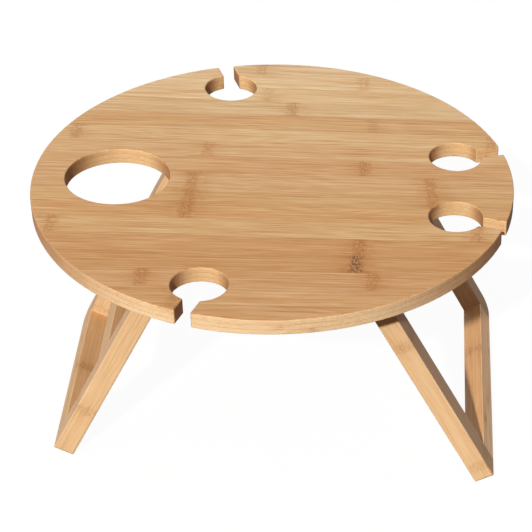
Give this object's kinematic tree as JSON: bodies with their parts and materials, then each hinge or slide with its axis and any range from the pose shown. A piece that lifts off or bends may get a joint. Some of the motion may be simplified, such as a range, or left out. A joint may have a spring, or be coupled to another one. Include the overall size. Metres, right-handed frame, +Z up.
{
  "type": "folding picnic table",
  "caption": "Low round wooden folding table with a bottle hole, slotted stemware holes at the rim, and two splayed leg frames that fold flat under the top.",
  "frame": {"origin": "on the floor, under the centre of the round top", "axes": "+Z up out of the top; +X from the bottle hole towards the pair of glass holes; Y along the floor bars and hinge axes; -Y is the front in the picture"},
  "size_m": [0.45, 0.45, 0.2497],
  "materials": {
    "bamboo_top": "satin lacquered laminated bamboo",
    "bamboo_narrow_leg": "satin lacquered bamboo",
    "bamboo_wide_leg": "satin lacquered bamboo",
    "bamboo_block": "sanded bamboo",
    "dowel_wood": "raw hardwood dowel",
    "bracket_steel": "zinc plated",
    "fastener_steel": "zinc plated"
  },
  "bodies": {
    "table_top": {"narrow_leg_back_bracket": "bracket_steel", "narrow_leg_back_stop_block": "bamboo_block", "narrow_leg_bracket_screws": "fastener_steel", "narrow_leg_front_bracket": "bracket_steel", "narrow_leg_front_stop_block": "bamboo_block", "narrow_leg_stop_screws": "fastener_steel", "tabletop": "bamboo_top", "wide_leg_back_bracket": "bracket_steel", "wide_leg_back_stop_block": "bamboo_block", "wide_leg_bracket_screws": "fastener_steel", "wide_leg_front_bracket": "bracket_steel", "wide_leg_front_stop_block": "bamboo_block", "wide_leg_stop_screws": "fastener_steel"},
    "wide_leg": {"wide_leg_front_strut": "bamboo_wide_leg", "wide_leg_back_strut": "bamboo_wide_leg", "wide_leg_floor_bar": "bamboo_wide_leg", "wide_leg_corner_dowels": "dowel_wood", "wide_leg_pivot_washers": "fastener_steel", "wide_leg_insert_nuts": "fastener_steel", "wide_leg_pivot_screws": "fastener_steel"},
    "narrow_leg": {"narrow_leg_front_strut": "bamboo_narrow_leg", "narrow_leg_back_strut": "bamboo_narrow_leg", "narrow_leg_floor_bar": "bamboo_narrow_leg", "narrow_leg_corner_dowels": "dowel_wood", "narrow_leg_pivot_washers": "fastener_steel", "narrow_leg_insert_nuts": "fastener_steel", "narrow_leg_pivot_screws": "fastener_steel", "narrow_leg_cross_bar": "bamboo_narrow_leg", "narrow_leg_cross_bar_dowels": "dowel_wood"}
  },
  "joints": [
    {"name": "wide_leg_fold", "type": "hinge", "parent": "table_top", "child": "wide_leg", "pos_m": [0.11082, 0, 0.18557], "axis": [0, 1, 0], "range_deg": [0, 117.2]},
    {"name": "narrow_leg_fold", "type": "hinge", "parent": "table_top", "child": "narrow_leg", "pos_m": [-0.09802, 0, 0.21047], "axis": [0, -1, 0], "range_deg": [0, 117.2]}
  ]
}
